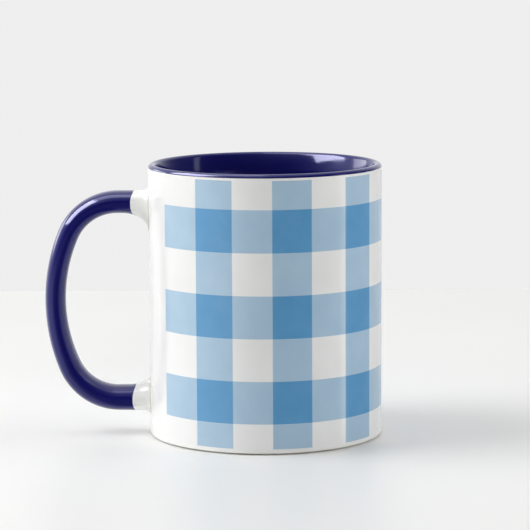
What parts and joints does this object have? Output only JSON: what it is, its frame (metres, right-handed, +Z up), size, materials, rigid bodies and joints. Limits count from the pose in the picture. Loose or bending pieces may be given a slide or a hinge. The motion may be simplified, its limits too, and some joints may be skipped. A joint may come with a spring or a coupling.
{
  "type": "ceramic mug",
  "caption": "Straight-sided two-tone glazed mug with a strap handle at one side, a rim that tapers on the inside, a bare foot ring and a gingham wrap print.",
  "frame": {"origin": "on the cup's axis, in the plane of the foot ring's flat underside", "axes": "+Z up along the cup's axis, -X towards the handle, Y across the handle"},
  "size_m": [0.1187, 0.082, 0.096],
  "materials": {
    "clay": "bare fired, matt",
    "slip": "bare fired, matt",
    "navy_glaze": "gloss glaze",
    "white_glaze": "gloss glaze",
    "clear_coat": "clear gloss coat over white glaze",
    "pale_print": "dyed gloss coat",
    "deep_print": "dyed gloss coat"
  },
  "bodies": {
    "root": {"cup_body": "clay", "handle_core": "clay", "upper_slip_joint": "slip", "lower_slip_joint": "slip", "inside_glaze": "navy_glaze", "outside_glaze": "white_glaze", "base_glaze": "white_glaze", "grip_glaze": "navy_glaze", "upper_neck_glaze": "white_glaze", "lower_neck_glaze": "white_glaze", "print_coat": "clear_coat", "print_stripe_checks": "pale_print", "print_band_checks": "pale_print", "print_crossing_checks": "deep_print"}
  },
  "joints": []
}
